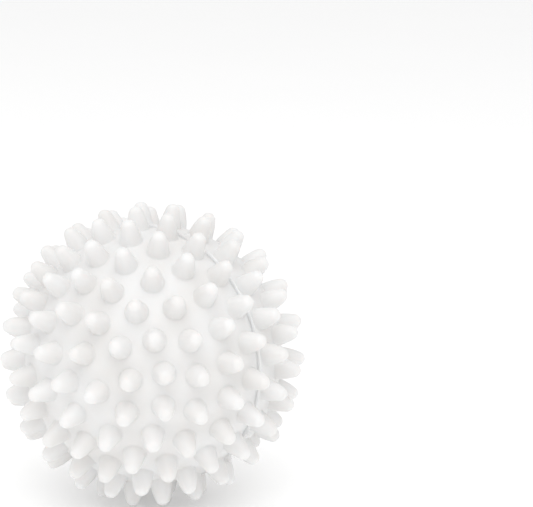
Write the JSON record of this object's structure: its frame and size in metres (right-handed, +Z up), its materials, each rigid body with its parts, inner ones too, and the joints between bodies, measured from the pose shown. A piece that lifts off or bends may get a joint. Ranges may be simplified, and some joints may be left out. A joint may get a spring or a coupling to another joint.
{
  "type": "dryer ball",
  "caption": "Hollow soft plastic tumble dryer ball of two welded half shells, covered all over in blunt tapered nodules.",
  "frame": {"origin": "centre of the ball", "axes": "+Z up; the seam stands upright in the XZ plane; -Y runs out along the front half's pole and +Y along the rear half's pole"},
  "size_m": [0.0696, 0.07, 0.0694],
  "materials": {
    "shell": "white soft PVC with a satin moulded skin",
    "weld": "white soft PVC weld ridge, slightly glossier and rougher in outline"
  },
  "bodies": {
    "root": {"front_half_shell": "shell", "rear_half_shell": "shell", "weld_bead": "weld"}
  },
  "joints": []
}
